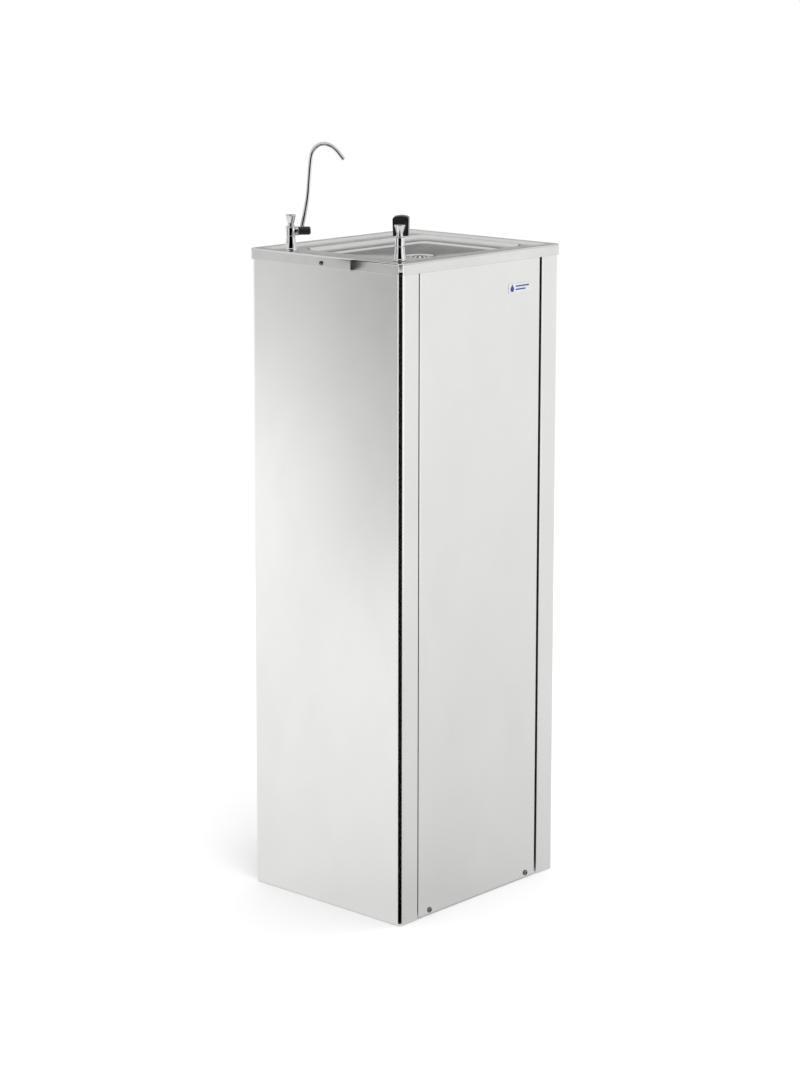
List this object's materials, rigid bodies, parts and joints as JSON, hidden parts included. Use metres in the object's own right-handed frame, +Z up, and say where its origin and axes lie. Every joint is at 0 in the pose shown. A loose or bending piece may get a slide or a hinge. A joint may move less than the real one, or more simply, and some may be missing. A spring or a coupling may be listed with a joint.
{
  "type": "drinking fountain",
  "caption": "Free-standing drinking fountain: slim steel cabinet, pressed basin top with a drain, push-button bubbler tap with a black lip guard, and a bottle filler with a swan neck.",
  "frame": {"origin": "centre of the base, on the floor, under the middle of the cabinet", "axes": "+Z up; the front panel faces -Y; the taps stand on the -X side of the deck"},
  "size_m": [0.3524, 0.3134, 1.1012],
  "materials": {
    "satin_stainless": "satin brushed stainless sheet",
    "pressed_stainless": "pressed stainless, semi-bright",
    "drain_stainless": "stamped stainless, bright",
    "tank_stainless": "mill finish stainless",
    "galvanised_steel": "zinc coated sheet, dull spangle",
    "screw_steel": "plain steel",
    "chrome": "polished chrome plating",
    "black_plastic": "moulded black plastic, fine texture",
    "rubber": "matt black rubber",
    "brass": "machined brass",
    "copper": "drawn copper tube",
    "blue_tube": "blue drinking-water tube",
    "white_plastic": "white moulded plastic",
    "foam": "rigid insulating foam",
    "black_paint": "black enamel",
    "aluminium": "plain aluminium",
    "badge": "blank foil badge"
  },
  "bodies": {
    "cabinet": {"base_tray": "galvanised_steel", "side_panel_left": "satin_stainless", "side_panel_right": "satin_stainless", "front_panel": "satin_stainless", "back_panel": "galvanised_steel", "basin_top": "pressed_stainless", "tank_shelf": "galvanised_steel", "front_screw_left": "screw_steel", "front_screw_right": "screw_steel", "top_screw_left": "screw_steel", "top_screw_right": "screw_steel", "back_screw_left": "screw_steel", "back_screw_right": "screw_steel", "badge": "badge", "drain_strainer": "drain_stainless", "drain_body": "drain_stainless", "drain_gasket": "rubber", "drain_nut": "white_plastic", "waste_pipe": "white_plastic", "bubbler_body": "chrome", "bubbler_spring": "screw_steel", "bubbler_bonnet": "chrome", "bubbler_nozzle": "chrome", "bubbler_hood": "black_plastic", "bubbler_washer": "rubber", "bubbler_nut": "brass", "filler_body": "chrome", "filler_spring": "screw_steel", "filler_bonnet": "chrome", "filler_adaptor": "black_plastic", "filler_washer": "rubber", "filler_nut": "brass", "compressor": "black_paint", "compressor_terminal_cover": "black_plastic", "compressor_mount_left": "rubber", "compressor_mount_right": "rubber", "condenser": "aluminium", "fan_shroud": "galvanised_steel", "fan_motor": "black_paint", "evaporator_coil": "copper", "cold_tank": "tank_stainless", "insulation_jacket": "foam", "insulation_lid": "foam", "thermostat": "white_plastic", "discharge_tube": "copper", "filter_drier": "copper", "capillary_tube": "copper", "suction_tube": "copper", "power_inlet": "black_plastic", "inlet_valve": "brass", "inlet_tube": "blue_tube", "bubbler_tube": "blue_tube", "filler_tube": "blue_tube", "supply_lead": "black_plastic"},
    "bubbler_push_button": {"bubbler_button": "chrome"},
    "filler_push_button": {"filler_button": "chrome"},
    "swan_neck": {"swan_neck": "chrome"},
    "thermostat_dial": {"thermostat_knob": "black_plastic"},
    "fan_rotor": {"fan_blade": "aluminium"},
    "valve_lever": {"inlet_valve_lever": "black_plastic"}
  },
  "joints": [
    {"name": "bubbler_press", "type": "slide", "parent": "cabinet", "child": "bubbler_push_button", "axis": [0, 0, -1], "range_m": [0, 0.003], "stiffness_N_per_m": 1200, "springref_m": -0.002, "deforming": ["bubbler_spring"]},
    {"name": "filler_press", "type": "slide", "parent": "cabinet", "child": "filler_push_button", "axis": [0, 0, -1], "range_m": [0, 0.003], "stiffness_N_per_m": 1200, "springref_m": -0.002, "deforming": ["filler_spring"]},
    {"name": "swan_neck_swivel", "type": "hinge", "parent": "cabinet", "child": "swan_neck", "pos_m": [-0.1188, 0.0941, 0.9815], "axis": [0.1772, -0.1329, 0.9751], "range_deg": [-90, 90]},
    {"name": "thermostat_turn", "type": "hinge", "parent": "cabinet", "child": "thermostat_dial", "pos_m": [0.055, 0.14505, 0.36], "axis": [0, 1, 0], "range_deg": [-135, 135]},
    {"name": "fan_spin", "type": "hinge", "parent": "cabinet", "child": "fan_rotor", "pos_m": [0.085, 0.0776, 0.105], "axis": [0, 1, 0], "continuous": true},
    {"name": "valve_lever_turn", "type": "hinge", "parent": "cabinet", "child": "valve_lever", "pos_m": [-0.11, 0.13, 0.3437], "axis": [0, 0, 1], "range_deg": [0, 90]}
  ]
}
